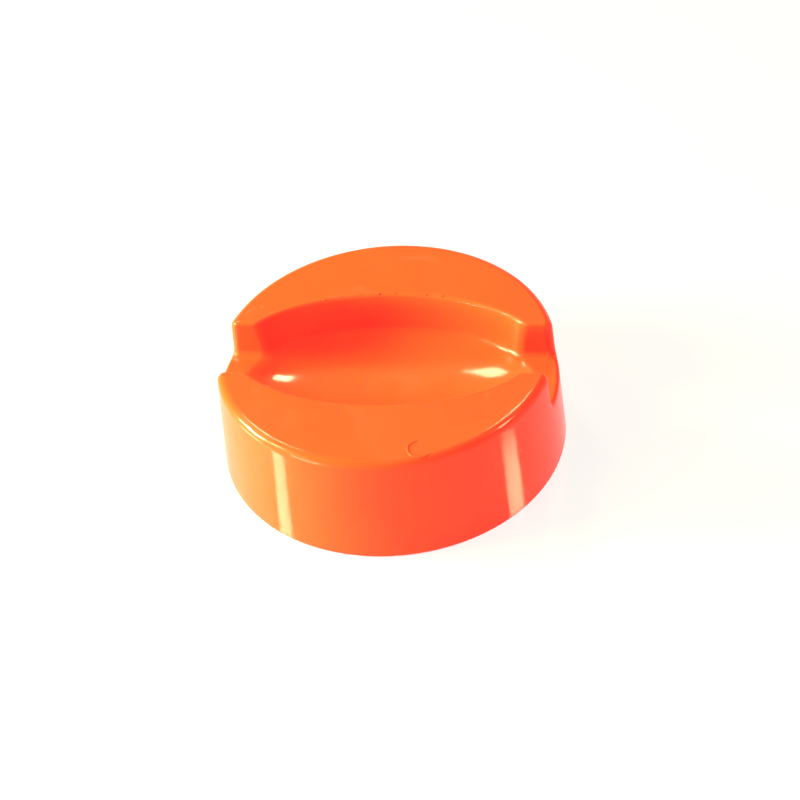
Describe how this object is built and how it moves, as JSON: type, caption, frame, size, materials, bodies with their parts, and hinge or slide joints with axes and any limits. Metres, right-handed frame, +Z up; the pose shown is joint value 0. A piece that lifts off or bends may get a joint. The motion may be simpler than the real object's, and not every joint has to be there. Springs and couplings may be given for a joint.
{
  "type": "ice fishing tip up puck",
  "caption": "Low round weighted puck of glossy orange plastic with a rod channel across its top and a lens-shaped well in the middle, on a screwed base cover with rubber feet.",
  "frame": {"origin": "under the middle of the puck, on the plane that its feet stand on", "axes": "+Z up, +X along the rod channel, +Y to the rear"},
  "size_m": [0.1, 0.1, 0.0342],
  "materials": {
    "shell_plastic": "glossy injection-moulded ABS, bright orange",
    "cover_plastic": "fine spark-eroded texture, orange",
    "seal_rubber": "smooth black nitrile",
    "screw_steel": "stainless, turned",
    "insert_brass": "turned brass",
    "ballast_steel": "zinc-plated plate with a sawn or laser-cut edge",
    "pad_foam": "closed-cell foam, dark grey",
    "foot_rubber": "matt black rubber"
  },
  "bodies": {
    "root": {"top_shell": "shell_plastic", "base_cover": "cover_plastic", "base_seal": "seal_rubber", "cover_screw_front_left": "screw_steel", "cover_screw_front_right": "screw_steel", "cover_screw_rear_left": "screw_steel", "cover_screw_rear_right": "screw_steel", "screw_insert_front_left": "insert_brass", "screw_insert_front_right": "insert_brass", "screw_insert_rear_left": "insert_brass", "screw_insert_rear_right": "insert_brass", "ballast_front": "ballast_steel", "ballast_rear": "ballast_steel", "ballast_pad_front": "pad_foam", "ballast_pad_rear": "pad_foam", "grip_foot_left": "foot_rubber", "grip_foot_right": "foot_rubber", "grip_foot_front": "foot_rubber", "grip_foot_rear": "foot_rubber"}
  },
  "joints": []
}
